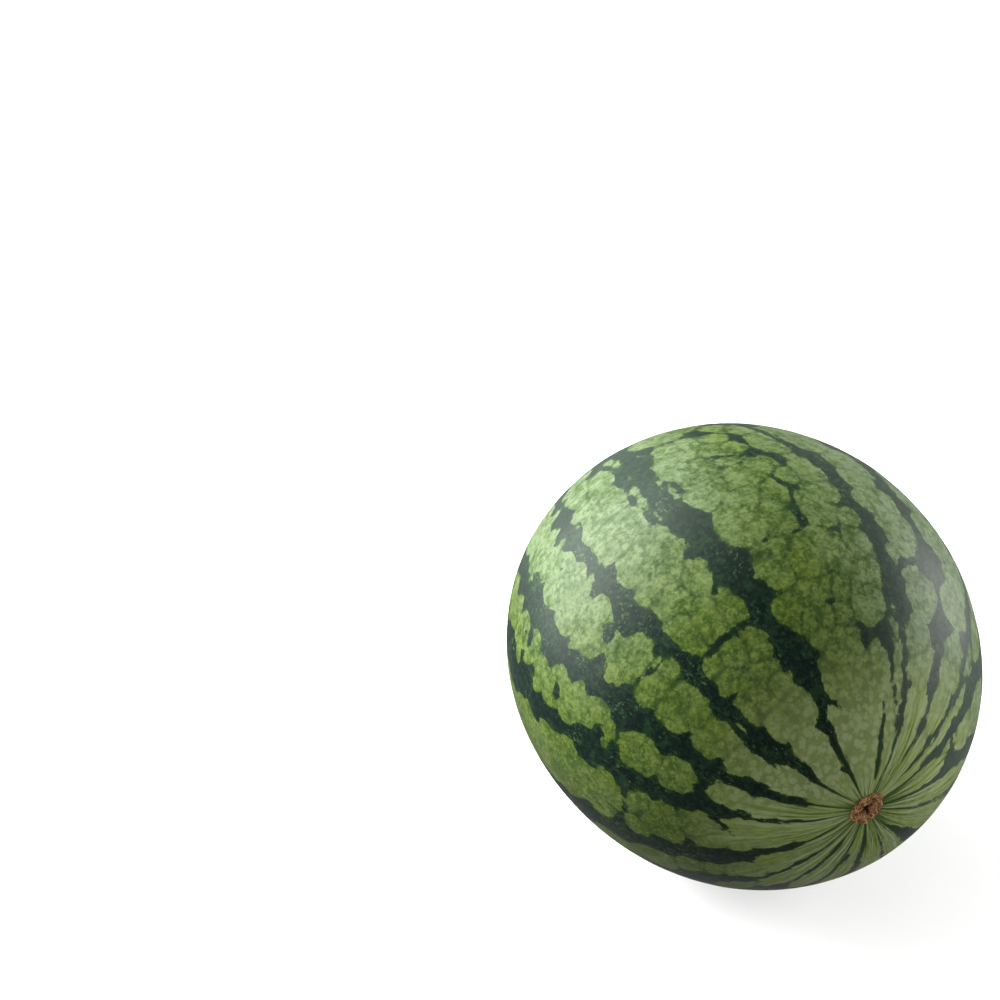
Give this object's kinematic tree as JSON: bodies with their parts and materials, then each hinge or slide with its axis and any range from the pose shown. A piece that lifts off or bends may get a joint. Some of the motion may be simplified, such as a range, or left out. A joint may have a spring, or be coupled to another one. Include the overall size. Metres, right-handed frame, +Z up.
{
  "type": "watermelon",
  "caption": "Whole striped watermelon lying on its side, with a corky blossom scar and a short dry stalk remnant.",
  "frame": {"origin": "on the floor, under the centre of the part's box", "axes": "+Z up; the fruit lies along Y, with its blossom end to -Y and its stem end to +Y"},
  "size_m": [0.212, 0.2536, 0.1987],
  "materials": {
    "rind": "waxy satin rind, pale green with jagged dark blue-green stripes",
    "dry_stem": "dry, matt, fibrous brown stalk"
  },
  "bodies": {
    "root": {"fruit": "rind", "dry_stalk": "dry_stem"}
  },
  "joints": []
}
